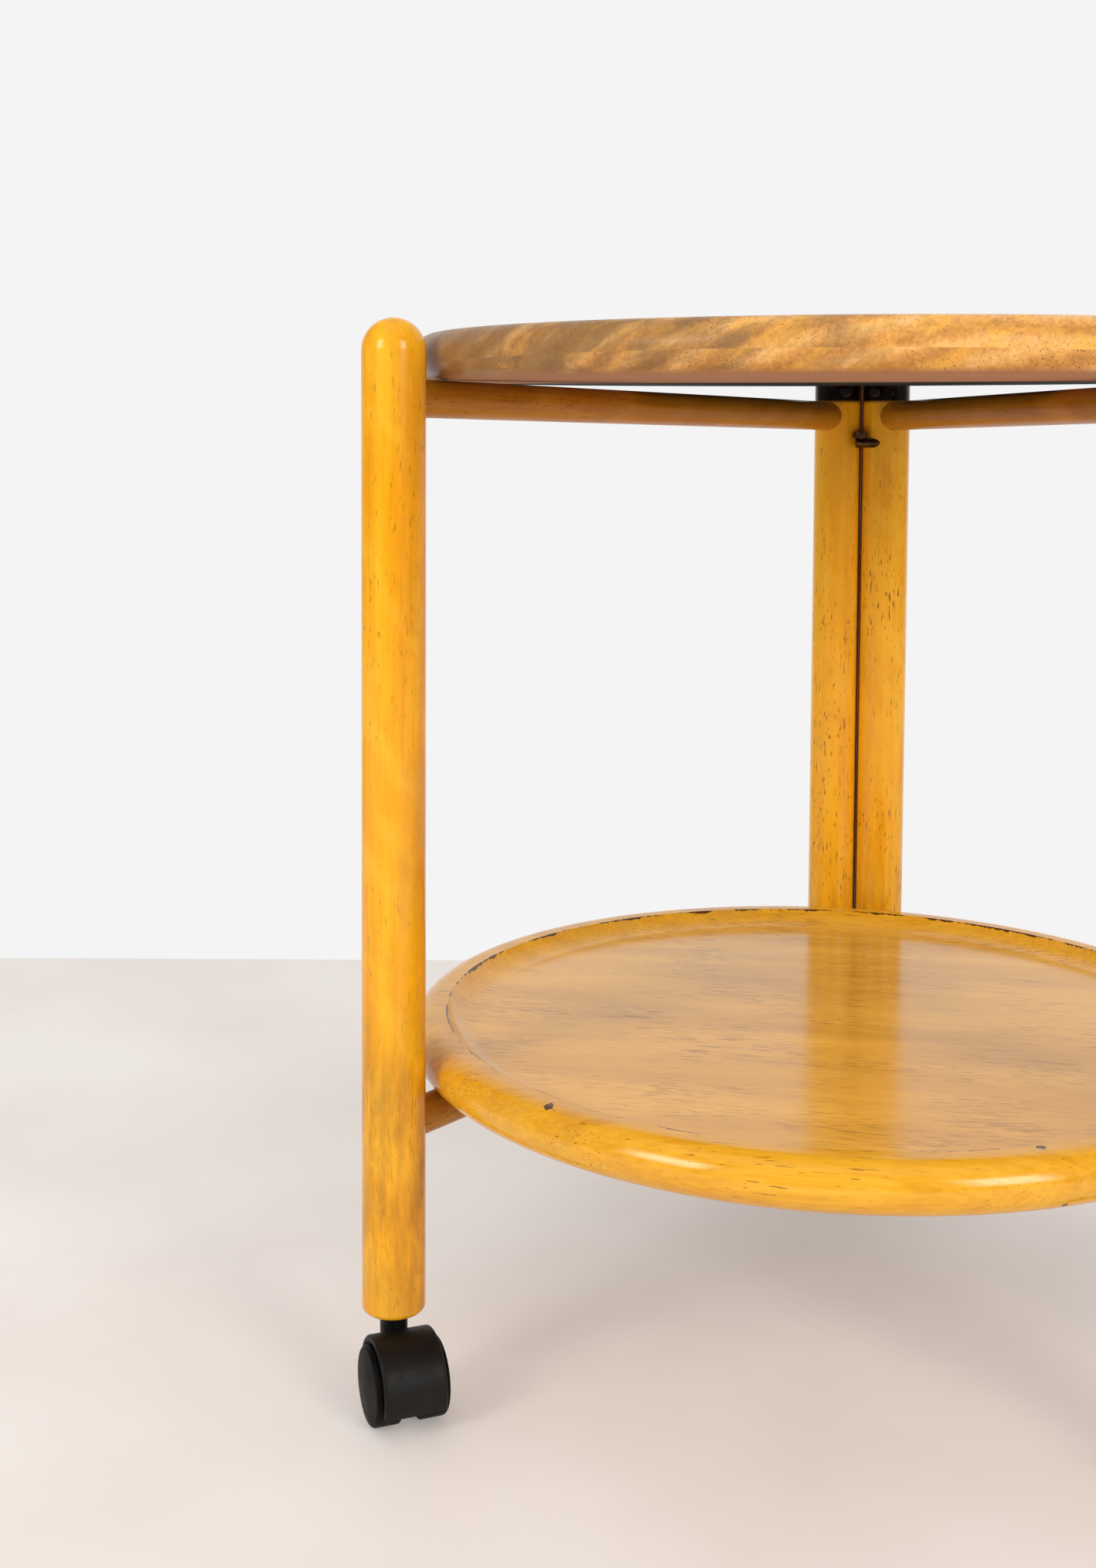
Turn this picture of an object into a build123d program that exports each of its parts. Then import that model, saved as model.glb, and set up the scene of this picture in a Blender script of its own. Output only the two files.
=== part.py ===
from build123d import *
from math import atan2, cos, degrees, hypot, radians, sin, sqrt
import os

os.makedirs("parts", exist_ok=True)

# Round folding serving trolley: two ladder-like gates of turned posts and rails, hinged
# together at the back posts, carry two loose round trays and roll on three twin-wheel casters.
# Millimetres and degrees. +Z is up, the hinge seam is at +Y, and the open front is at -Y.

# Trays
tray_diameter = 434.0
tray_thickness = 23.5
rim_width = 18.0
cove_width = 14.0
dish_depth = 8.0
crest_round = 0.8
rest_clearance = 0.3

# Posts and rails
post_diameter = 30.0
post_bottom = 45.2
post_top = 512.5
post_foot_round = 2.5
post_head = 36.7
rail_diameter = 18.0
lower_rail_height = 133.2
rail_insert = 20.0
rail_end_chamfer = 1.0
glue_gap = 0.05
front_post_angle = 124.1
front_tray_gap = 4.0
back_tray_gap = 4.0
meeting_flat_width = 6.0
meeting_gap = 0.15

# Hinges between the back posts
hinge_drop = 17.0
hinge_pin_diameter = 4.0
hinge_running_clearance = 0.05
eye_diameter = 8.0
eye_height = 4.0
eye_post_clearance = 1.5
eye_shank_diameter = 3.5
eye_shank_insert = 14.0
pintle_shank_diameter = 6.0
pintle_shank_angle = 12.0
pintle_shank_length = 22.0
pintle_seat_gap = 0.1
pin_tail = 1.0

# Rubber-sleeved pegs in the back posts, which hold up the back of the upper tray
peg_rise = 8.4
peg_diameter = 6.0
peg_tip_round = 1.0
peg_reach = 40.0
peg_insert = 8.5
peg_offset = 6.0

# Twin-wheel casters
wheel_diameter = 36.0
wheel_rim_wall = 4.0
wheel_tread_round = 2.0
wheel_hub_diameter = 13.0
wheel_face_thickness = 2.4
wheel_dome = 1.8
axle_diameter = 6.0
axle_running_clearance = 0.05
axle_end_gap = 0.4
caster_trail = 16.5
hood_width = 30.0
hood_wall = 2.4
hood_wheel_gap = 1.6
hood_edge_round = 1.5
hood_front_angle = -18.5
hood_back_angle = 150.0
web_thickness = 10.0
web_wheel_gap = 0.5
axle_boss_diameter = 18.0
neck_diameter = 13.0
neck_post_gap = 0.3
stem_diameter = 8.0
stem_tip_chamfer = 1.0
stem_running_clearance = 0.05
stem_insert = 30.0
socket_diameter = 11.0
socket_cap = 2.0
socket_end_gap = 1.0
left_caster_heading = -56.3
back_caster_heading = -90.0

# Sizes that follow from those above
tray_radius = tray_diameter / 2
bullnose_radius = tray_thickness / 2
flat_radius = tray_radius - bullnose_radius
crest_radius = tray_radius - rim_width
floor_radius = crest_radius - cove_width
floor_height = tray_thickness - dish_depth
post_radius = post_diameter / 2
rail_radius = rail_diameter / 2
top_rail_height = post_top - post_head
front_post_reach = tray_radius + front_tray_gap + post_radius
meeting_flat_offset = sqrt(post_radius**2 - (meeting_flat_width / 2) ** 2)
back_post_x = meeting_flat_offset + meeting_gap / 2
back_post_reach = sqrt((tray_radius + back_tray_gap + post_radius) ** 2 - back_post_x**2)

# The part's origin lies on the floor, midway between the trays' front and the back posts' rear
tray_axis_y = (tray_radius - back_post_reach - post_radius) / 2
front_post_x = front_post_reach * sin(radians(front_post_angle))
front_post_y = tray_axis_y + front_post_reach * cos(radians(front_post_angle))
back_post_y = tray_axis_y + back_post_reach
gate_length = hypot(front_post_x - back_post_x, back_post_y - front_post_y)
left_front = Vector(-front_post_x, front_post_y, 0)
left_back = Vector(-back_post_x, back_post_y, 0)
right_front = Vector(front_post_x, front_post_y, 0)
right_back = Vector(back_post_x, back_post_y, 0)

# The hinge axis stands in the front groove between the two back posts
hinge_reach = post_radius + eye_diameter / 2 + eye_post_clearance
hinge_axis_y = back_post_y - sqrt(hinge_reach**2 - back_post_x**2)
hinge_axis = Vector(0, hinge_axis_y, 0)
hinge_heights = {
    "upper": top_rail_height - hinge_drop,
    "lower": lower_rail_height - hinge_drop,
}
pintle_direction = Vector(cos(radians(pintle_shank_angle)), sin(radians(pintle_shank_angle)), 0)
eye_direction = (left_back - hinge_axis).normalized()
eye_shank_end = hinge_reach - post_radius + eye_shank_insert
eye_offset = pintle_shank_diameter / 2 + pintle_seat_gap + eye_height / 2

# Pegs point forward from the back posts, a little nearer to the seam than the posts' middles
top_rail_top = top_rail_height + rail_radius
peg_height = top_rail_top + peg_rise - peg_diameter / 2
peg_root = sqrt(post_radius**2 - peg_offset**2) - peg_insert
peg_length = peg_reach - peg_root
left_peg_tip = left_back + Vector(peg_offset, -peg_reach, peg_height)
right_peg_tip = right_back + Vector(-peg_offset, -peg_reach, peg_height)

# The upper tray leans forward: its front rests on the rails, its back on the tips of the pegs
gate_run = (left_back - left_front).normalized()
front_from_axis = left_front - Vector(0, tray_axis_y, 0)
along_rail = front_from_axis.dot(gate_run)
off_rail = front_from_axis.length**2 - flat_radius**2
front_rest = left_front + gate_run * (-along_rail - sqrt(along_rail**2 - off_rail))
tilt_slope = peg_rise / (left_peg_tip.Y - front_rest.Y)
upper_tray_tilt = degrees(atan2(tilt_slope, 1))
upper_tray_height = top_rail_top + rest_clearance + (tray_axis_y - front_rest.Y) * tilt_slope
lower_tray_height = lower_rail_height + rail_radius + rest_clearance

# Places inside a caster, measured out from the middle of its axle
wheel_radius = wheel_diameter / 2
hood_inner_radius = wheel_radius + hood_wheel_gap
hood_outer_radius = hood_inner_radius + hood_wall
wheel_inner_face = web_thickness / 2 + web_wheel_gap
wheel_outer_face = hood_width / 2 + wheel_face_thickness
axle_half_length = hood_width / 2 - axle_end_gap
neck_top = post_bottom - neck_post_gap
stem_top = post_bottom + stem_insert
socket_top = stem_top + socket_end_gap + socket_cap


def save(part, name):
    part.label = name
    export_step(part, f"parts/{name}.step")


# Turned posts, with a domed top and sockets for the two rails of their gate. The back posts are
# planed flat on the side where they meet: 1 on the right side, -1 on the left side, 0 for none.


def make_post(name, foot, rail_direction, shank_holes, flat_side, has_caster):
    side = Plane(origin=foot, x_dir=(1, 0, 0), z_dir=(0, -1, 0))
    with BuildPart() as post:
        with BuildSketch(side):
            with BuildLine():
                dome_start = post_top - post_radius
                Line((0, post_bottom), (post_radius - post_foot_round, post_bottom))
                foot_centre = (post_radius - post_foot_round, post_bottom + post_foot_round)
                CenterArc(foot_centre, post_foot_round, -90, 90)
                Line((post_radius, post_bottom + post_foot_round), (post_radius, dome_start))
                CenterArc((0, dome_start), post_radius, 0, 90)
                Line((0, post_top), (0, post_bottom))
            make_face()
        revolve(axis=Axis(foot, (0, 0, 1)))
        for height in (top_rail_height, lower_rail_height):
            socket_start = post_radius - rail_insert - glue_gap
            start = foot + rail_direction * socket_start + Vector(0, 0, height)
            with BuildSketch(Plane(origin=start, z_dir=rail_direction)):
                Circle(rail_radius + glue_gap)
            extrude(amount=post_diameter, mode=Mode.SUBTRACT)
        for start, direction, length, diameter in shank_holes:
            with BuildSketch(Plane(origin=start, z_dir=direction)):
                Circle(diameter / 2 + glue_gap)
            extrude(amount=length + glue_gap, mode=Mode.SUBTRACT)
        if flat_side:
            flat_start = foot + Vector(flat_side * meeting_flat_offset, 0, 0)
            with BuildSketch(Plane(origin=flat_start, z_dir=(flat_side, 0, 0))):
                Rectangle(3 * post_top, 3 * post_top)
            extrude(amount=post_radius, mode=Mode.SUBTRACT)
        if has_caster:
            with BuildSketch(Plane(origin=foot + Vector(0, 0, post_bottom))):
                Circle(socket_diameter / 2 + glue_gap)
            extrude(amount=socket_top + glue_gap - post_bottom, mode=Mode.SUBTRACT)
    save(post.part, name)


eye_shanks = []
pintle_shanks = []
for hinge_height in hinge_heights.values():
    eye_middle = hinge_axis + Vector(0, 0, hinge_height + eye_offset)
    shank_middle = hinge_axis + Vector(0, 0, hinge_height)
    eye_shanks.append((eye_middle, eye_direction, eye_shank_end, eye_shank_diameter))
    pintle_shanks.append((shank_middle, pintle_direction, pintle_shank_length, pintle_shank_diameter))
backward = Vector(0, 1, 0)
left_peg_hole = (left_peg_tip, backward, peg_length, peg_diameter)
right_peg_hole = (right_peg_tip, backward, peg_length, peg_diameter)

right_run = (right_back - right_front).normalized()
make_post("left_front_post", left_front, gate_run, [], 0, True)
make_post("left_back_post", left_back, gate_run * -1, eye_shanks + [left_peg_hole], 1, True)
make_post("right_front_post", right_front, right_run, [], 0, True)
make_post("right_back_post", right_back, right_run * -1, pintle_shanks + [right_peg_hole], -1, False)


# Round rails, glued into the posts


def make_rail(name, front, run, height):
    start = front + run * (post_radius - rail_insert) + Vector(0, 0, height)
    length = gate_length - 2 * (post_radius - rail_insert)
    with BuildPart() as rail:
        with BuildSketch(Plane(origin=start, z_dir=run)):
            Circle(rail_radius)
        extrude(amount=length)
        chamfer(rail.edges().filter_by(GeomType.CIRCLE), length=rail_end_chamfer)
    save(rail.part, name)


make_rail("left_top_rail", left_front, gate_run, top_rail_height)
make_rail("left_lower_rail", left_front, gate_run, lower_rail_height)
make_rail("right_top_rail", right_front, right_run, top_rail_height)
make_rail("right_lower_rail", right_front, right_run, lower_rail_height)


# Pegs under the back of the upper tray, pressed into the back posts


def make_peg(name, tip):
    with BuildPart() as peg:
        with BuildSketch(Plane(origin=tip, z_dir=backward)):
            Circle(peg_diameter / 2)
        extrude(amount=peg_length)
        fillet(peg.edges().group_by(Axis.Y)[0], radius=peg_tip_round)
    save(peg.part, name)


make_peg("left_tray_peg", left_peg_tip)
make_peg("right_tray_peg", right_peg_tip)


# Loose hinges: an eye screwed into the left back post, a pintle into the right one


def make_eye(name, height):
    middle = hinge_axis + Vector(0, 0, height + eye_offset)
    bore_radius = hinge_pin_diameter / 2 + hinge_running_clearance
    shank_start = (bore_radius + eye_diameter / 2) / 2
    with BuildPart() as eye:
        with BuildSketch(Plane(origin=middle)):
            Circle(eye_diameter / 2)
        extrude(amount=eye_height / 2, both=True)
        with BuildSketch(Plane(origin=middle + eye_direction * shank_start, z_dir=eye_direction)):
            Circle(eye_shank_diameter / 2)
        extrude(amount=eye_shank_end - shank_start)
        with BuildSketch(Plane(origin=middle)):
            Circle(bore_radius)
        extrude(amount=eye_height, both=True, mode=Mode.SUBTRACT)
    save(eye.part, name)


def make_pintle(name, height):
    middle = hinge_axis + Vector(0, 0, height)
    shank_start = middle - pintle_direction * (pintle_shank_diameter / 2)
    with BuildPart() as pintle:
        with BuildSketch(Plane(origin=shank_start, z_dir=pintle_direction)):
            Circle(pintle_shank_diameter / 2)
        extrude(amount=pintle_shank_length + pintle_shank_diameter / 2)
        with BuildSketch(Plane(origin=middle)):
            Circle(hinge_pin_diameter / 2)
        extrude(amount=eye_offset + eye_height / 2 + pin_tail)
    save(pintle.part, name)


for hinge_name, hinge_height in hinge_heights.items():
    make_eye(f"{hinge_name}_hinge_eye", hinge_height)
    make_pintle(f"{hinge_name}_hinge_pintle", hinge_height)


# Turned trays: flat below, half-round outside, and a cove down from the crest to the floor


def make_tray(name, height, tilt):
    foot = Vector(0, tray_axis_y, height)
    upright = Vector(0, -sin(radians(tilt)), cos(radians(tilt)))
    facing = Vector(0, -cos(radians(tilt)), -sin(radians(tilt)))
    with BuildPart() as tray:
        with BuildSketch(Plane(origin=foot, x_dir=(1, 0, 0), z_dir=facing)) as profile:
            with BuildLine():
                Line((0, 0), (flat_radius, 0))
                CenterArc((flat_radius, bullnose_radius), bullnose_radius, -90, 180)
                Line((flat_radius, tray_thickness), (crest_radius, tray_thickness))
                TangentArc((floor_radius, floor_height), (crest_radius, tray_thickness), tangent=(1, 0))
                Line((floor_radius, floor_height), (0, floor_height))
                Line((0, floor_height), (0, 0))
            make_face()
            crest = profile.vertices().group_by(Axis.Y)[-1].sort_by(Axis.X)[0]
            fillet(crest, radius=crest_round)
        revolve(axis=Axis(foot, upright))
    save(tray.part, name)


make_tray("upper_tray", upper_tray_height, upper_tray_tilt)
make_tray("lower_tray", lower_tray_height, 0)


# Twin-wheel casters: a socket in the post, and a stem, hood, axle and two wheels that swivel in it


def make_caster(name, post_foot, heading):
    ahead = Vector(cos(radians(heading)), sin(radians(heading)), 0)
    across = Vector(-sin(radians(heading)), cos(radians(heading)), 0)
    hub = post_foot + ahead * caster_trail + Vector(0, 0, wheel_radius)
    side_plane = Plane(origin=hub, x_dir=ahead, z_dir=across * -1)
    socket_plane = Plane(origin=post_foot + Vector(0, 0, post_bottom))

    with BuildPart() as socket:
        with BuildSketch(socket_plane):
            Circle(socket_diameter / 2)
        extrude(amount=socket_top - post_bottom)
        with BuildSketch(socket_plane):
            Circle(stem_diameter / 2 + stem_running_clearance)
        extrude(amount=socket_top - socket_cap - post_bottom, mode=Mode.SUBTRACT)
    save(socket.part, f"{name}_caster_socket")

    stem_bottom = wheel_radius + axle_boss_diameter / 2
    with BuildPart() as stem:
        with BuildSketch(Plane(origin=post_foot + Vector(0, 0, stem_bottom))):
            Circle(stem_diameter / 2)
        extrude(amount=stem_top - stem_bottom)
        chamfer(stem.edges().group_by(Axis.Z)[-1], length=stem_tip_chamfer)
    save(stem.part, f"{name}_caster_stem")

    arc_span = hood_back_angle - hood_front_angle
    with BuildPart() as hood:
        with BuildSketch(side_plane):
            with BuildLine():
                outer = CenterArc((0, 0), hood_outer_radius, hood_front_angle, arc_span)
                inner = CenterArc((0, 0), hood_inner_radius, hood_front_angle, arc_span)
                Line(outer @ 0, inner @ 0)
                Line(outer @ 1, inner @ 1)
            make_face()
        extrude(amount=hood_width / 2, both=True)
        rounded = [
            edge
            for edge in hood.edges().filter_by(GeomType.CIRCLE)
            if abs(edge.radius - hood_outer_radius) < hood_edge_round / 2
        ]
        fillet(rounded, radius=hood_edge_round)
        with BuildSketch(side_plane):
            with BuildLine():
                rib = CenterArc((0, 0), hood_inner_radius + hood_wall / 2, hood_front_angle, arc_span)
                Line((0, 0), rib @ 0)
                Line((0, 0), rib @ 1)
            make_face()
            Circle(axle_boss_diameter / 2)
        extrude(amount=web_thickness / 2, both=True)
        with BuildSketch(Plane(origin=post_foot + Vector(0, 0, stem_bottom))):
            Circle(neck_diameter / 2)
        extrude(amount=neck_top - stem_bottom)
        for side in (1, -1):
            gap_start = hub + across * (side * web_thickness / 2)
            with BuildSketch(Plane(origin=gap_start, z_dir=across * side)):
                Circle(hood_inner_radius)
            extrude(amount=hood_width, mode=Mode.SUBTRACT)
        with BuildSketch(Plane(origin=post_foot + Vector(0, 0, stem_bottom - glue_gap))):
            Circle(stem_diameter / 2 + glue_gap)
        extrude(amount=neck_top, mode=Mode.SUBTRACT)
        with BuildSketch(side_plane):
            Circle(axle_diameter / 2 + glue_gap)
        extrude(amount=web_thickness, both=True, mode=Mode.SUBTRACT)
    save(hood.part, f"{name}_caster_hood")

    with BuildPart() as axle:
        with BuildSketch(side_plane):
            Circle(axle_diameter / 2)
        extrude(amount=axle_half_length, both=True)
    save(axle.part, f"{name}_caster_axle")

    for label, side in (("right", 1), ("left", -1)):
        outward = across * side
        wheel_plane = Plane(origin=hub, x_dir=outward, z_dir=outward.cross(Vector(0, 0, 1)))
        bore_radius = axle_diameter / 2 + axle_running_clearance
        hub_radius = wheel_hub_diameter / 2
        hollow_radius = wheel_radius - wheel_rim_wall
        bore_end = hood_width / 2
        with BuildPart() as wheel:
            with BuildSketch(wheel_plane) as section:
                with BuildLine():
                    Line((bore_end, 0), (bore_end, bore_radius))
                    Line((bore_end, bore_radius), (wheel_inner_face, bore_radius))
                    Line((wheel_inner_face, bore_radius), (wheel_inner_face, hub_radius))
                    Line((wheel_inner_face, hub_radius), (bore_end, hub_radius))
                    Line((bore_end, hub_radius), (bore_end, hollow_radius))
                    Line((bore_end, hollow_radius), (wheel_inner_face, hollow_radius))
                    Line((wheel_inner_face, hollow_radius), (wheel_inner_face, wheel_radius))
                    Line((wheel_inner_face, wheel_radius), (wheel_outer_face, wheel_radius))
                    TangentArc(
                        (wheel_outer_face + wheel_dome, 0),
                        (wheel_outer_face, wheel_radius),
                        tangent=(0, 1),
                    )
                    Line((wheel_outer_face + wheel_dome, 0), (bore_end, 0))
                make_face()
                tread_edge = section.vertices().group_by(Axis.Y)[-1].sort_by(Axis.X)[-1]
                fillet(tread_edge, radius=wheel_tread_round)
            revolve(axis=Axis(hub, outward))
        save(wheel.part, f"{name}_caster_{label}_wheel")


make_caster("left", left_front, left_caster_heading)
make_caster("right", right_front, -180 - left_caster_heading)
make_caster("back", left_back, back_caster_heading)
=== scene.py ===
from functools import partial
import math

import bpy
from mathutils import Matrix, Vector

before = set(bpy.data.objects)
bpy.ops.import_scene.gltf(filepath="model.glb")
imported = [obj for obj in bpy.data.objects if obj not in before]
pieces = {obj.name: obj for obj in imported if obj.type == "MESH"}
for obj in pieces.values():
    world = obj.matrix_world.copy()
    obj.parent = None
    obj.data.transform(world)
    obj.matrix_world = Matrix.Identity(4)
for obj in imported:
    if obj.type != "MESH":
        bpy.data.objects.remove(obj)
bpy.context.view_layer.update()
print("frame loaded:", len(pieces), "pieces")


def linear(hexColour):
    # sRGB hex to the linear colour that the shaders take
    channels = [int(hexColour[i:i + 2], 16) / 255 for i in (1, 3, 5)]
    return tuple(c / 12.92 if c <= 0.04045 else ((c + 0.055) / 1.055) ** 2.4 for c in channels) + (1.0,)


def addNode(tree, kind, links, stops=(), **settings):
    # links: inputs by name or number, or a list of the first ones. Each takes a node, for its first live output,
    # or one of a node's outputs, or a plain value. stops: (place, hex colour) of a colour ramp, in order
    node = tree.nodes.new("ShaderNode" + kind)
    for name, value in settings.items():
        setattr(node, name, value)
    for socket, value in links.items() if isinstance(links, dict) else enumerate(links):
        if isinstance(value, bpy.types.Node):
            value = next(output for output in value.outputs if output.enabled)
        if isinstance(value, bpy.types.NodeSocket):
            tree.links.new(value, node.inputs[socket])
        else:
            node.inputs[socket].default_value = value
    while stops and len(node.color_ramp.elements) < len(stops):
        node.color_ramp.elements.new(0.5)
    for number, (place, tone) in enumerate(stops):
        node.color_ramp.elements[number].position = place
        node.color_ramp.elements[number].color = linear(tone)
    return node


def newMaterial(name):
    material = bpy.data.materials.new(name)
    material.use_nodes = True
    material.node_tree.nodes.clear()
    return material, partial(addNode, material.node_tree)


def finishPiece(name, material):
    slots = pieces[name].data.materials
    slots.clear()
    slots.append(material)


# Lacquered wood: soft streaks and fine fibres along the grain, cloudy stains, short dark pores, chips through
# the lacquer, and a clear film that mirrors the windows as soft white spots on domes and streaks along rims
def lacqueredWood(name, look):
    material, add = newMaterial(name)
    dish = look.get("dish")
    coordinates = add("TexCoord", {})
    place = coordinates.outputs["Object"]
    spot = add("SeparateXYZ", [place])
    facing = add("SeparateXYZ", [coordinates.outputs["Normal"]])
    # turned so that the grain runs along Z here
    board = add("Mapping", {"Vector": place, "Location": look["shift"], "Rotation": look["grainTurn"]})
    boardTone = None
    if look["boardWidth"]:
        # glued boards side by side, each cut from another place in the log
        boardX = add("SeparateXYZ", [board]).outputs["X"]
        boardCount = add("Math", [boardX, 1000 / look["boardWidth"]], operation="MULTIPLY")
        boardIndex = add("Math", [boardCount], operation="FLOOR")
        pick = add("TexWhiteNoise", {"W": boardIndex}, noise_dimensions="1D")
        away = add("VectorMath", [pick.outputs["Color"], look["boardShift"]], operation="MULTIPLY")
        board = add("VectorMath", [board, away])
        boardTone = pick.outputs["Value"]
    # the grain wanders off its line a little
    wanderPlace = add("Mapping", {"Vector": board, "Scale": (1, 1, look["wanderStretch"])})
    wander = add("TexNoise", {"Vector": wanderPlace, "Scale": 1000 / look["wanderSize"], "Detail": 2.0})
    wanderStep = add("VectorMath", [wander.outputs["Color"], look["wander"]], operation="MULTIPLY")
    wandered = add("VectorMath", [board, wanderStep])
    slant = add("Mapping", {"Vector": board, "Rotation": look["figureTurn"]})

    # noise patterns: coordinates, millimetres across the grain, stretch along it, detail and roughness
    patterns = {
        "streaks": (wandered, look["streakWidth"], look["streakLength"] / look["streakWidth"], 4.0, 0.6),
        "fibres": (wandered, look["fibreWidth"], look["fibreLength"] / look["fibreWidth"], 2.0, 0.5),
        "figure": (slant, look["figureSize"], look["figureStretch"], 2.0, 0.5),
        "clouds": (slant, look["patchSize"], look["patchStretch"], 7.0, 0.7),
        # real pores are 0.1 mm wide, drawn wider so that they show
        "pores": (board, look["poreWidth"] * 2, look["poreLength"] / look["poreWidth"], 1.0, 0.5),
        "poreField": (board, look["poreFieldSize"], look["poreFieldStretch"], 2.0, 0.5),
        "chipEdge": (board, look["chipEdgeSize"], 1.0, 3.0, 0.5),
    }
    if look["grimeAndShade"]:
        patterns["grimeAndShade"] = (wandered, look["bandStreakWidth"], look["bandStreakLength"] / look["bandStreakWidth"], 4.0, 0.7)
    if dish:
        patterns["wipes"] = (wandered, dish["wipeWidth"], dish["wipeLength"] / dish["wipeWidth"], 3.0, 0.5)
        patterns["dashes"] = (wandered, dish["dashWidth"], dish["dashLength"] / dish["dashWidth"], 2.0, 0.5)
        patterns["wear"] = (place, dish["wornGap"], 1.0, 5.0, 0.75)
    drawn = {}
    for pattern, (source, size, stretch, detail, roughness) in patterns.items():
        stretched = add("Mapping", {"Vector": source, "Scale": (1, 1, 1 / stretch)})
        drawn[pattern] = add("TexNoise", {"Vector": stretched, "Scale": 1000 / size, "Detail": detail,
                                          "Roughness": roughness})

    # grain: streaks, year rings and fibres; at scale 1 a wave texture repeats every 314 mm
    waveRepeat = 314
    rings = add("TexWave", {"Vector": wandered, "Scale": waveRepeat / look["ringGap"], "Detail": 2.0,
                            "Detail Scale": 1.4, "Distortion": look["ringDistortion"]},
                wave_type="RINGS", rings_direction="Z", wave_profile="SIN")
    grain = add("Mix", {"Factor": look["ringShare"], "A": drawn["streaks"], "B": rings.outputs["Fac"]})
    grain = add("Mix", {"Factor": look["fibreShare"], "A": grain, "B": drawn["fibres"]})
    wood = add("ValToRGB", [grain], stops=look["tones"])
    # slanting figure: silky bands that shimmer a little lighter
    figure = add("MapRange", [drawn["figure"], look["figureFrom"], look["figureFull"], 0, look["figure"]])
    wood = add("Mix", {0: figure, 6: wood, 7: linear(look["figureTone"])}, data_type="RGBA")
    # cloudy stains where dirt and sun have changed the lacquer; where they lean, more of them on one side, and on the
    # left post that lean is painted shade
    across = add("Math", [spot.outputs["X"], look["middleX"]], operation="SUBTRACT")
    lean = add("Math", [across, look["patchLean"]], operation="MULTIPLY")
    clouds = add("Math", [drawn["clouds"], lean], operation="SUBTRACT")
    patch = add("MapRange", [clouds, look["patchFrom"], look["patchFrom"] + look["patchSoft"], 0, look["patch"]])
    wood = add("Mix", {0: patch, 6: wood, 7: linear(look["patchTone"])}, data_type="RGBA")
    if boardTone:
        shade = add("MapRange", [boardTone, 0, 1, 1 - look["boardContrast"], 1 + look["boardContrast"]])
        wood = add("Mix", {0: 1.0, 6: wood, 7: shade}, data_type="RGBA", blend_type="MULTIPLY")
    roughness = add("MapRange", [drawn["streaks"], look["streakLow"], look["streakHigh"],
                                 look["roughness"] - look["smoother"], look["roughness"] + look["rougher"]])
    # pores, thicker in some fields than in others
    poreSpots = add("MapRange", [drawn["pores"], look["poreFrom"], look["poreFrom"] + look["poreSoft"]])
    poreField = add("MapRange", [drawn["poreField"], look["poreFieldFrom"], look["poreFieldFull"], look["poresLeast"],
                                 look["pores"]])
    pores = add("Math", [poreSpots, poreField], operation="MULTIPLY")
    wood = add("Mix", {0: pores, 6: wood, 7: linear(look["poreTone"])}, data_type="RGBA")
    # knocks: a few dark chips through the lacquer, each of its own size
    chipCells = add("TexVoronoi", {"Vector": wandered, "Scale": 1000 / look["chipGap"]})
    chipPick = add("SeparateColor", [chipCells.outputs["Color"]])
    chipReach = add("MapRange", [chipPick.outputs["Red"], 1 - look["chipShare"], 1.0, 0,
                                 look["chipSize"] / look["chipGap"] / 2])
    chipEdge = add("Math", [chipCells.outputs["Distance"], drawn["chipEdge"]], operation="MULTIPLY")
    chips = add("Math", [chipEdge, chipReach], operation="LESS_THAN")

    if dish:
        # the floor inside the rim is painted paler and yellower than the handled rim, painted light that lifts it out
        # of the upper tray's shade, and it is darkened in soft greyish wiped bands
        centre = add("VectorMath", [place, dish["middle"]], operation="SUBTRACT")
        flat = add("VectorMath", [centre, (1, 1, 0)], operation="MULTIPLY")
        reach = add("VectorMath", [flat], operation="LENGTH")
        onTop = add("Math", [facing.outputs["Z"], 0.0], operation="GREATER_THAN")
        withinCrest = add("MapRange", [reach, dish["crest"], dish["crest"] - dish["crestFade"]])
        inside = add("Math", [onTop, withinCrest], operation="MULTIPLY")
        wipes = add("MapRange", [drawn["wipes"], dish["wipeFrom"], dish["wipeFull"], 0, dish["wipes"]])
        wiped = add("Mix", {0: wipes, 6: linear(dish["tone"]), 7: linear(dish["wipeTone"])}, data_type="RGBA")
        pale = add("Mix", {0: dish["pale"], 6: wood, 7: linear(dish["paleTone"])}, data_type="RGBA")
        dishWood = add("Mix", {0: 1.0, 6: pale, 7: wiped}, data_type="RGBA", blend_type="MULTIPLY")
        wood = add("Mix", {0: inside, 6: wood, 7: dishWood}, data_type="RGBA")
        # knocks fall on the rim, not on the floor
        outside = add("Math", [1.0, inside], operation="SUBTRACT")
        chips = add("Math", [chips, outside], operation="MULTIPLY")
        # dirt in the open grain, as thin dashes along it
        dashes = add("MapRange", [drawn["dashes"], dish["dashFrom"], dish["dashFull"], 0, dish["dashes"]])
        dashes = add("Math", [dashes, poreField], operation="MULTIPLY")
        dashes = add("Math", [dashes, inside], operation="MULTIPLY")
        wood = add("Mix", {0: dashes, 6: wood, 7: linear(look["poreTone"])}, data_type="RGBA")
        # the crest has lost its lacquer in a broken dark line
        offCrest = add("Math", [reach, dish["crest"]], operation="SUBTRACT")
        offCrest = add("Math", [offCrest], operation="ABSOLUTE")
        wornReach = add("MapRange", [drawn["wear"], dish["wornFrom"], dish["wornFrom"] + dish["wornSoft"], 0,
                                     dish["wornWidth"] / 1000])
        worn = add("Math", [offCrest, wornReach], operation="LESS_THAN")
        worn = add("Math", [onTop, worn], operation="MULTIPLY")
        wood = add("Mix", {0: worn, 6: wood, 7: linear(look["chipTone"])}, data_type="RGBA")
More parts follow.
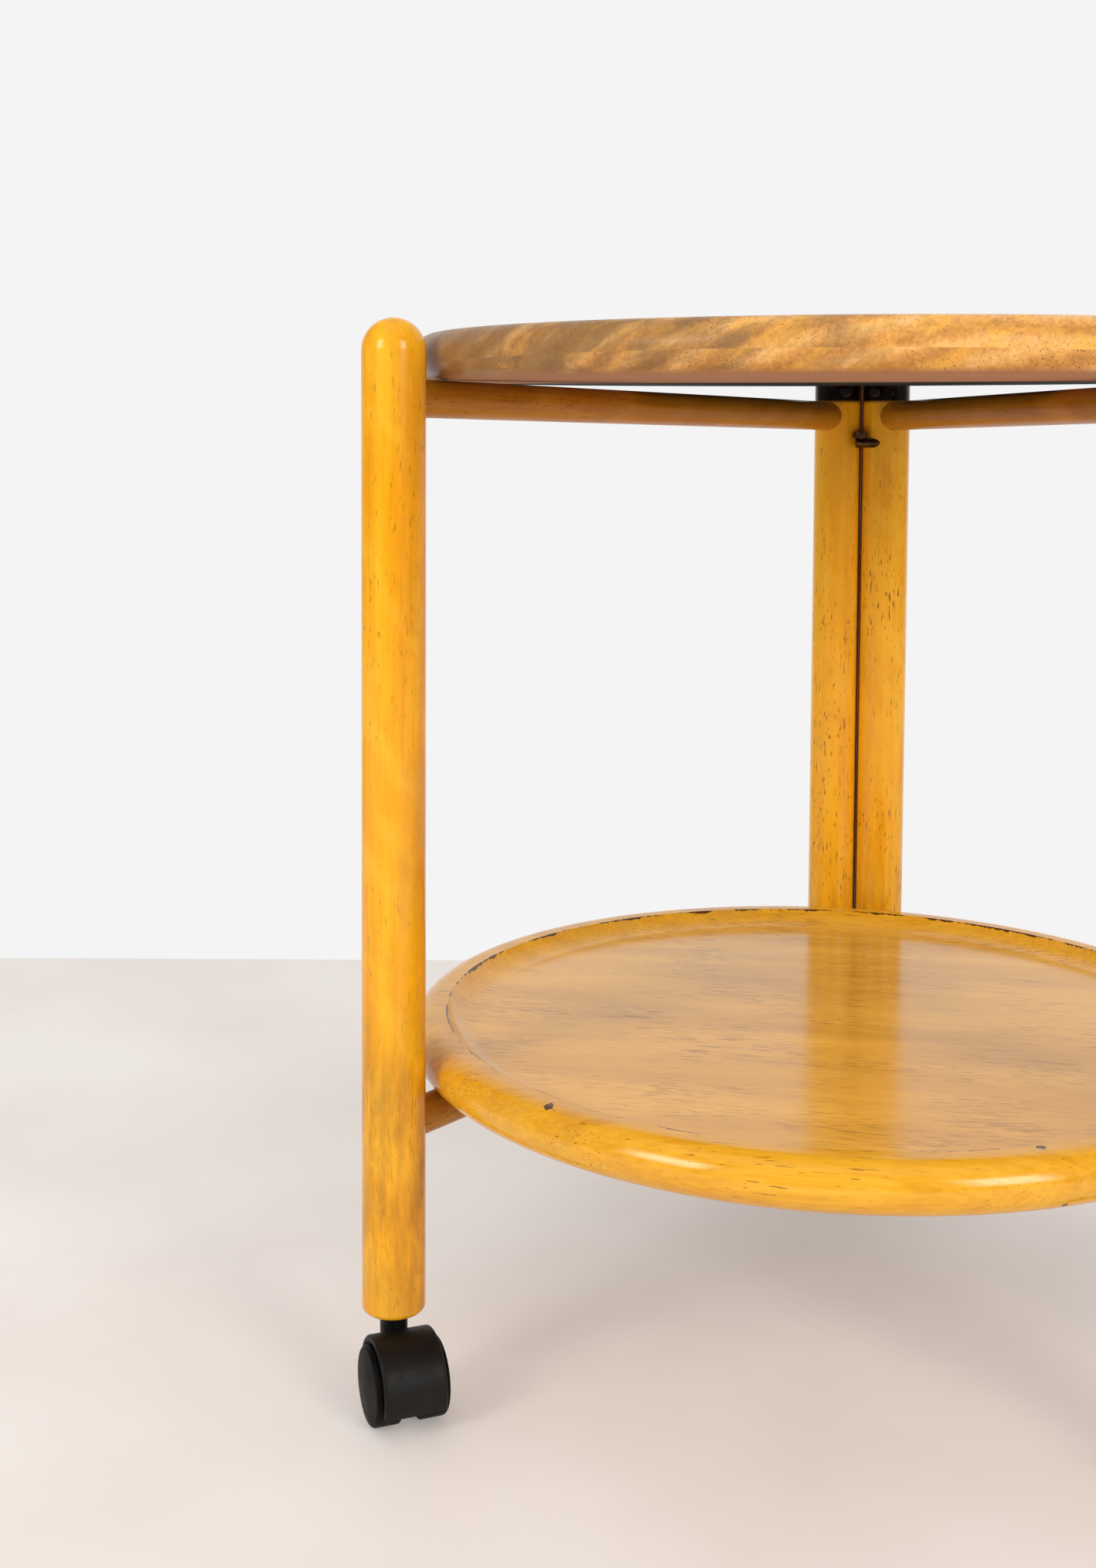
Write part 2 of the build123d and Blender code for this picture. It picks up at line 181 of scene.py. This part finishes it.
        # the underside, where the surface faces nearly straight down, is bare and dull; its back half is painted near
        # black, painted shade
        below = add("MapRange", [facing.outputs["Z"], dish["bareFrom"], dish["bareFull"]])
        behind = add("SeparateXYZ", [centre]).outputs["Y"]
        backShade = add("MapRange", [behind, dish["backShadeStart"], dish["backShadeStart"] + dish["backShadeFade"]])
        bareAndShadedUnderside = add("Mix", {0: backShade, 6: linear(dish["bareTone"]), 7: linear(dish["backShadeTone"])}, data_type="RGBA")
        bareAndShadedUnderside = add("Mix", {0: dish["bareGrain"], 6: bareAndShadedUnderside, 7: wood}, data_type="RGBA", blend_type="MULTIPLY")
        wood = add("Mix", {0: below, 6: wood, 7: bareAndShadedUnderside}, data_type="RGBA")
        roughness = add("Mix", {"Factor": below, "A": roughness, "B": dish["bareRoughness"]})
    wood = add("Mix", {0: chips, 6: wood, 7: linear(look["chipTone"])}, data_type="RGBA")

    for grimeAndShade in look["grimeAndShade"]:
        # bands of dirt and of painted shade: each over one stretch of the height, in streaks, full over all but the
        # fade; a larger share makes wider streaks
        half = (grimeAndShade["high"] - grimeAndShade["low"]) / 2
        offMiddle = add("Math", [spot.outputs["Z"], (grimeAndShade["low"] + grimeAndShade["high"]) / 2], operation="SUBTRACT")
        offMiddle = add("Math", [offMiddle], operation="ABSOLUTE")
        streakFrom = look["bandStreakFrom"] - grimeAndShade["share"] / 3
        dirtAndShade = add("MapRange", [drawn["grimeAndShade"], streakFrom, streakFrom + look["bandStreakSoft"], 0,
                                min(grimeAndShade["share"], 1)])
        inStretch = add("MapRange", [offMiddle, half, half * (1 - grimeAndShade["fade"])])
        dirtAndShade = add("Math", [dirtAndShade, inStretch], operation="MULTIPLY")
        if grimeAndShade["frontOnly"]:
            inFront = add("MapRange", [facing.outputs["Y"], 0.0, look["frontFull"]])
            dirtAndShade = add("Math", [dirtAndShade, inFront], operation="MULTIPLY")
        wood = add("Mix", {0: dirtAndShade, 6: wood, 7: linear(grimeAndShade["tone"])}, data_type="RGBA")
    if "seamShadeWidth" in look:
        # painted shade in the groove where the two back posts meet
        offSeam = add("Math", [spot.outputs["X"]], operation="ABSOLUTE")
        groove = add("MapRange", [offSeam, look["seamShadeWidth"] / 1000, look["seamShadeWidth"] / 2000])
        wood = add("Mix", {0: groove, 6: wood, 7: linear(look["seamShadeTone"])}, data_type="RGBA")

    bump = add("Bump", {"Height": drawn["fibres"], "Strength": look["bump"], "Distance": look["bumpDepth"] / 1000})
    shader = add("BsdfPrincipled", {"Base Color": wood, "Roughness": roughness, "Normal": bump, "IOR": look["ior"],
                                    "Specular IOR Level": look["gloss"]})
    add("OutputMaterial", {"Surface": shader})
    return material


def layGrain(heading):
    # turn that lays a grain which runs level, at this heading in degrees, along Z
    turn = Matrix.Rotation(-math.pi / 2, 3, "Y") @ Matrix.Rotation(-math.radians(heading), 3, "Z")
    return tuple(turn.to_euler())


# sizes, widths, lengths, gaps and bump depths are in millimetres, and all other lengths in metres. An effect starts
# where its pattern or facing is at From or Low and is whole at Full or High; Soft is the way from one to the other
beech = {
    "shift": (0.043, 0.021, 0.0), "grainTurn": (0, 0, 0), "boardWidth": 0, "middleX": 0,
    "grimeAndShade": [], "bandStreakWidth": 7, "bandStreakLength": 35, "bandStreakFrom": 0.58, "bandStreakSoft": 0.28, "frontFull": -0.3,
    "wanderSize": 70, "wander": (0.008, 0.008, 0), "wanderStretch": 0.3,
    "ringGap": 14, "ringShare": 0.12, "ringDistortion": 1.2,
    "streakWidth": 7, "streakLength": 130, "streakLow": 0.3, "streakHigh": 0.7,
    "fibreWidth": 1.1, "fibreLength": 45, "fibreShare": 0.25,
    "tones": [(0.3, "#DC900A"), (0.48, "#EDA310"), (0.6, "#F4AF16"), (0.75, "#F9BB22")],
    "figureTurn": (0, 0.6, 0.4), "figureSize": 16, "figureStretch": 3.5, "figureFrom": 0.48, "figureFull": 0.72,
    "figure": 0.35, "figureTone": "#FCC83C",
    "patchSize": 40, "patchStretch": 2.5, "patchFrom": 0.52, "patchSoft": 0.2, "patchLean": 0, "patch": 0.4,
    "patchTone": "#C98420",
    "poreWidth": 0.5, "poreLength": 3.5, "poreFrom": 0.645, "poreSoft": 0.05, "pores": 0.8, "poresLeast": 0.1,
    "poreTone": "#6A3E10", "poreFieldSize": 38, "poreFieldStretch": 1.6, "poreFieldFrom": 0.38, "poreFieldFull": 0.62,
    "chipGap": 70, "chipShare": 0.06, "chipSize": 3, "chipEdgeSize": 2.5, "chipTone": "#4A3018",
    "roughness": 0.17, "smoother": 0.04, "rougher": 0.05, "gloss": 0.36, "ior": 1.5, "bump": 0.04, "bumpDepth": 0.3,
}

# Posts: beech turned round and lacquered amber, a warm yellow with two soft window spots at the foot of the dome
footGrime = {"low": 0.02, "high": 0.2, "share": 0.6, "fade": 0.6, "tone": "#94621F", "frontOnly": False}
postLook = dict(beech, pores=0.5, poreFrom=0.66, grimeAndShade=[footGrime])
# the left post is browner on its right side: painted shade, its stains pushed hard onto that side
finishPiece("left_front_post", lacqueredWood("beech_left_post_turned_amber_lacquer",
                                             dict(postLook, middleX=-0.195, patchLean=-9, patch=0.55)))
finishPiece("right_front_post", lacqueredWood("beech_right_post_turned_amber_lacquer",
                                              dict(postLook, shift=(0.4, 0.13, 0.31))))
# painted shade: the back posts are painted near black on their fronts, in a band just under the upper tray's edge,
# where its shade falls
trayShade = {"low": 0.4834, "high": 0.5054, "share": 1.5, "fade": 0.2, "tone": "#120A04", "frontOnly": True}
# the seam settings here paint shade into the groove where the back posts meet
backLook = dict(
    postLook, shift=(0.21, 0.09, 0.13), pores=0.9, poreFrom=0.64, seamShadeWidth=1.6, seamShadeTone="#8E4E0E",
    tones=[(0.3, "#E49A14"), (0.48, "#F4AD1C"), (0.6, "#F9B826"), (0.75, "#FDC534")], grimeAndShade=[footGrime, trayShade],
)
for side in ("left", "right"):
    finishPiece(f"{side}_back_post", lacqueredWood(f"beech_{side}_back_post_turned_amber_lacquer", backLook))
print("posts finished")

# Rails: beech dowel with a thinner, more handled coat, so less glossy than the posts; their darker, browner tones are
# partly painted shade from the trays above them
railLook = dict(
    beech, shift=(0.11, 0.07, 0.02), roughness=0.32, gloss=0.2, figure=0.2, figureTone="#E0A040",
    tones=[(0.3, "#9A5E0E"), (0.48, "#B07012"), (0.6, "#BC7C1A"), (0.75, "#C88A26")], patchTone="#885818",
)
railHeadings = {"left": 63.8, "right": 116.2}
for side, heading in railHeadings.items():
    dowel = lacqueredWood(f"beech_{side}_dowel_satin_lacquer", dict(railLook, grainTurn=layGrain(heading)))
    for level in ("top", "lower"):
        finishPiece(f"{side}_{level}_rail", dowel)
print("rails finished")

# Trays: turned from glued beech boards under gloss lacquer; the floors mirror the room and the rims are worn
dishLook = {
    "middle": (0, -0.0168, 0), "crest": 0.199, "crestFade": 0.012, "tone": "#FFFAF0", "pale": 0.6,
    # the paleTone here is painted light on the floor inside the rim
    "paleTone": "#FFC860",
    "wipes": 0.55, "wipeTone": "#D2BFA6", "wipeWidth": 36, "wipeLength": 170, "wipeFrom": 0.4, "wipeFull": 0.66,
    "dashes": 0.65, "dashWidth": 1.1, "dashLength": 13, "dashFrom": 0.54, "dashFull": 0.64,
    "wornGap": 26, "wornWidth": 1.3, "wornFrom": 0.46, "wornSoft": 0.22,
    "bareTone": "#B98A66", "bareGrain": 0.25, "bareRoughness": 0.8, "bareFrom": -0.8, "bareFull": -0.97,
    # the near-black tone over the underside's back half is painted shade
    "backShadeStart": 0.025, "backShadeFade": 0.012, "backShadeTone": "#060403",
}
trayLook = dict(
    beech, boardWidth=118, boardShift=(0.13, 0.16, 1.7), boardContrast=0.05, shift=(0.02, 0.11, 0.3), dish=dishLook,
    wanderSize=120, wander=(0.012, 0.012, 0), wanderStretch=0.12, ringGap=26, ringShare=0.15,
    streakWidth=5, streakLength=190, fibreWidth=1.6, fibreLength=70, fibreShare=0.4,
    tones=[(0.3, "#DA9618"), (0.48, "#EAA722"), (0.6, "#F2B22C"), (0.75, "#F7BF3E")],
    figure=0.15, patchSize=45, patchStretch=3.0, patch=0.45, patchTone="#B98A48",
    poreWidth=0.45, poreLength=6, poreFrom=0.67, pores=0.9, poreTone="#6E4318",
    chipGap=26, chipShare=0.7, chipSize=2.4, chipTone="#5A3A18", gloss=0.5,
)
# the upper tray is more stained, above all on the left, and duller
trayLooks = {
    "lower": dict(trayLook, grainTurn=layGrain(2), patchLean=0.5),
    "upper": dict(
        trayLook, grainTurn=layGrain(78), ringGap=13, ringShare=0.45,
        tones=[(0.3, "#BA8040"), (0.48, "#D89A52"), (0.6, "#E6AC62"), (0.75, "#F2C080")],
        patch=0.8, patchFrom=0.44, patchTone="#7C5E40", patchSize=15, patchStretch=4.5, patchSoft=0.26, patchLean=1.8,
        figure=0.75, figureTurn=(math.pi / 2, -0.6, 0), figureTone="#F0B048", figureSize=8, figureStretch=7.0,
        pores=0.8, poreFrom=0.64, poreLength=2.5, roughness=0.32, gloss=0.16,
    ),
}
for level, look in trayLooks.items():
    finishPiece(f"{level}_tray", lacqueredWood(f"beech_{level}_tray_boards_gloss_lacquer", look))
print("trays finished")


# Moulded nylon: near-black with a fine spark-eroded texture, greyed where it has been rubbed
def mouldedNylon(name, look):
    material, add = newMaterial(name)
    place = add("TexCoord", {}).outputs["Object"]
    # grit of 0.05 mm in the mould, drawn at 0.6 mm so that it shows
    grit = add("TexNoise", {"Vector": place, "Scale": 1000 / look["gritSize"], "Detail": 2.0, "Roughness": 0.5})
    rub = add("TexNoise", {"Vector": place, "Scale": 1000 / look["rubSize"], "Detail": 5.0, "Roughness": 0.65})
    rubbed = add("MapRange", [rub, look["rubFrom"], look["rubFull"], 0, look["rub"]])
    tone = add("Mix", {0: rubbed, 6: linear(look["tone"]), 7: linear(look["rubTone"])}, data_type="RGBA")
    specks = add("MapRange", [grit, look["speckFrom"], look["speckFull"], 0, look["specks"]])
    tone = add("Mix", {0: specks, 6: tone, 7: linear(look["dustTone"])}, data_type="RGBA")
    roughness = add("MapRange", [rub, look["rubLow"], look["rubHigh"], look["roughness"] + look["polish"],
                                 look["roughness"] - look["polish"]])
    bump = add("Bump", {"Height": grit, "Strength": look["bump"], "Distance": look["bumpDepth"] / 1000})
    shader = add("BsdfPrincipled", {"Base Color": tone, "Roughness": roughness, "Normal": bump, "IOR": look["ior"],
                                    "Specular IOR Level": look["gloss"]})
    add("OutputMaterial", {"Surface": shader})
    return material


nylonLook = {
    "tone": "#0A0A0A", "rub": 0.6, "rubTone": "#1C1A1C", "rubSize": 12, "rubFrom": 0.5, "rubFull": 0.75,
    "rubLow": 0.35, "rubHigh": 0.7, "polish": 0.06,
    "gritSize": 0.6, "specks": 0.2, "dustTone": "#3A3736", "speckFrom": 0.66, "speckFull": 0.74,
    "roughness": 0.5, "gloss": 0.25, "ior": 1.53, "bump": 0.25, "bumpDepth": 0.1,
}
hoodNylon = mouldedNylon("nylon_hood_moulded_matt", nylonLook)
wheelNylon = mouldedNylon("nylon_wheel_moulded_satin", dict(nylonLook, tone="#060606", rubTone="#121112", specks=0.1,
                                                            gloss=0.08))
sleeveRubber = mouldedNylon("rubber_peg_sleeve_moulded_matt", dict(nylonLook, roughness=0.7, specks=0.1))


# Drawn steel: smooth rod with a bloom of age, darker in patches
def drawnSteel(name, look):
    material, add = newMaterial(name)
    place = add("TexCoord", {}).outputs["Object"]
    bloom = add("TexNoise", {"Vector": place, "Scale": 1000 / look["bloomSize"], "Detail": 4.0, "Roughness": 0.5})
    tone = add("ValToRGB", [bloom], stops=[(look["bloomFrom"], look["tone"]), (look["bloomFull"], look["bloomTone"])])
    roughness = add("MapRange", [bloom, look["bloomLow"], look["bloomHigh"], look["roughness"] - look["smoother"],
                                 look["roughness"] + look["rougher"]])
    shader = add("BsdfPrincipled", {"Base Color": tone, "Roughness": roughness, "Metallic": 1.0})
    add("OutputMaterial", {"Surface": shader})
    return material


zincLook = {"tone": "#9C9C9A", "bloomTone": "#B8B7B3", "bloomSize": 6, "bloomFrom": 0.35, "bloomFull": 0.65,
            "bloomLow": 0.3, "bloomHigh": 0.7, "roughness": 0.32, "smoother": 0.08, "rougher": 0.1}
hingeLook = dict(zincLook, tone="#3A2E26", bloomTone="#6A5036", bloomSize=3, roughness=0.36)
hingeSteel = drawnSteel("steel_hinge_aged_brown", hingeLook)
zincSteel = drawnSteel("steel_rod_zinc_plated", zincLook)
for level in ("upper", "lower"):
    finishPiece(f"{level}_hinge_eye", hingeSteel)
    finishPiece(f"{level}_hinge_pintle", hingeSteel)
for side in ("left", "right"):
    finishPiece(f"{side}_tray_peg", sleeveRubber)
for caster in ("left", "right", "back"):
    finishPiece(f"{caster}_caster_hood", hoodNylon)
    for steelPiece in ("socket", "stem", "axle"):
        finishPiece(f"{caster}_caster_{steelPiece}", zincSteel)
    for side in ("left", "right"):
        finishPiece(f"{caster}_caster_{side}_wheel", wheelNylon)
print("pegs, hinges and casters finished")

# Floor: pale sealed concrete, flat and even, up to where the white wall starts
floorLook = {"tone": "#D9D4D0", "shade": "#D3CBC6", "mottleSize": 220, "mottleFrom": 0.35, "mottleFull": 0.65,
             "glow": 0.34, "roughness": 0.6, "reach": 4.0, "wallAt": 0.652, "wallTurn": 12.54}
reach, wallAt = floorLook["reach"], floorLook["wallAt"]
floorMesh = bpy.data.meshes.new("floor")
floorMesh.from_pydata([(-reach, -reach, 0), (reach, -reach, 0), (reach, wallAt, 0), (-reach, wallAt, 0)], [],
                      [(0, 1, 2, 3)])
floor = bpy.data.objects.new("floor", floorMesh)
floor.rotation_euler.z = math.radians(floorLook["wallTurn"])
bpy.context.scene.collection.objects.link(floor)
concrete, add = newMaterial("concrete_sealed_pale")
mottle = add("TexNoise", {"Vector": add("TexCoord", {}).outputs["Object"], "Scale": 1000 / floorLook["mottleSize"],
                          "Detail": 5.0, "Roughness": 0.5})
tone = add("ValToRGB", [mottle], stops=[(floorLook["mottleFrom"], floorLook["shade"]),
                                        (floorLook["mottleFull"], floorLook["tone"])])
shader = add("BsdfPrincipled", {"Base Color": tone, "Emission Color": tone, "Emission Strength": floorLook["glow"],
                                "Roughness": floorLook["roughness"]})
add("OutputMaterial", {"Surface": shader})
floorMesh.materials.append(concrete)

# Room: white to look at, and in mirrors a white wall at the back and a dimmer side in front
roomLook = {"light": 0.66, "lightTone": "#FFFFFF", "wallTone": "#F5F4F4", "dimSide": 0.15, "mirrorFrom": 0.3,
            "mirrorFull": 0.85}
world = bpy.data.worlds.new("white_room")
bpy.context.scene.world = world
world.use_nodes = True
world.node_tree.nodes.clear()
add = partial(addNode, world.node_tree)
rays = add("LightPath", {})
heading = add("SeparateXYZ", [add("TexCoord", {}).outputs["Generated"]])
mirrored = add("MapRange", [heading.outputs["Y"], roomLook["mirrorFrom"], roomLook["mirrorFull"],
                            roomLook["dimSide"], 1.0])
soft = add("Background", {"Color": linear(roomLook["lightTone"]), "Strength": roomLook["light"]})
wallSeen = add("Background", {"Color": linear(roomLook["wallTone"]), "Strength": 1.0})
wallMirrored = add("Background", {"Color": linear(roomLook["wallTone"]), "Strength": mirrored})
inMirror = add("Math", [rays.outputs["Is Glossy Ray"], rays.outputs["Is Transmission Ray"]], operation="MAXIMUM")
room = add("MixShader", [inMirror, soft, wallMirrored])
room = add("MixShader", [rays.outputs["Is Camera Ray"], room, wallSeen])
add("OutputWorld", {"Surface": room})


def addWindow(name, look):
    lamp = bpy.data.lights.new(name, "AREA")
    lamp.shape = "RECTANGLE"
    lamp.size, lamp.size_y = look["size"]
    lamp.energy = look["watts"]
    lamp.color = linear(look["tone"])[:3]
    window = bpy.data.objects.new(name, lamp)
    window.location = look["place"]
    window.rotation_euler = (Vector(look["aim"]) - Vector(look["place"])).to_track_quat("-Z", "Y").to_euler()
    bpy.context.scene.collection.objects.link(window)


windows = {
    "left_window": {"place": (-1.52, -2.11, 1.35), "aim": (0, 0, 0.4), "size": (0.8, 1.0), "watts": 24.5,
                    "tone": "#FFFAF2"},
    "right_window": {"place": (1.7, -1.61, 1.2), "aim": (0, 0, 0.4), "size": (0.8, 1.0), "watts": 22.5,
                     "tone": "#FFFAF2"},
    "ceiling_panel": {"place": (0, -0.3, 2.8), "aim": (0, 0, 0), "size": (2.5, 2.5), "watts": 7,
                      "tone": "#FFFFFF"},
}
for name, look in windows.items():
    addWindow(name, look)
print("room and lights placed")

# Camera: eye just below the upper tray, looking a little down and to the left
viewLook = {"imageHeight": 2029, "focalPixels": 2336.3, "centreRow": 732.4, "eye": (0.05566, -0.94865, 0.44812),
            "yaw": -0.2189, "pitch": 0.0595, "roll": 0.005, "sensor": 36.0, "nearest": 0.05}
yaw, pitch, roll = viewLook["yaw"], viewLook["pitch"], viewLook["roll"]
ahead = Vector((math.sin(yaw) * math.cos(pitch), math.cos(yaw) * math.cos(pitch), -math.sin(pitch)))
level = Vector((math.cos(yaw), -math.sin(yaw), 0))
upright = level.cross(ahead)
right = level * math.cos(roll) + upright * math.sin(roll)
up = right.cross(ahead)
lens = bpy.data.cameras.new("photo_camera")
lens.sensor_width = viewLook["sensor"]
lens.lens = viewLook["focalPixels"] / viewLook["imageHeight"] * viewLook["sensor"]
lens.shift_y = (viewLook["centreRow"] - viewLook["imageHeight"] / 2) / viewLook["imageHeight"]
lens.clip_start = viewLook["nearest"]
camera = bpy.data.objects.new("photo_camera", lens)
pose = Matrix((right, up, -ahead)).transposed().to_4x4()
pose.translation = Vector(viewLook["eye"])
camera.matrix_world = pose
bpy.context.scene.collection.objects.link(camera)
bpy.context.scene.camera = camera
bpy.context.scene.view_settings.view_transform = "Standard"
print("camera placed")
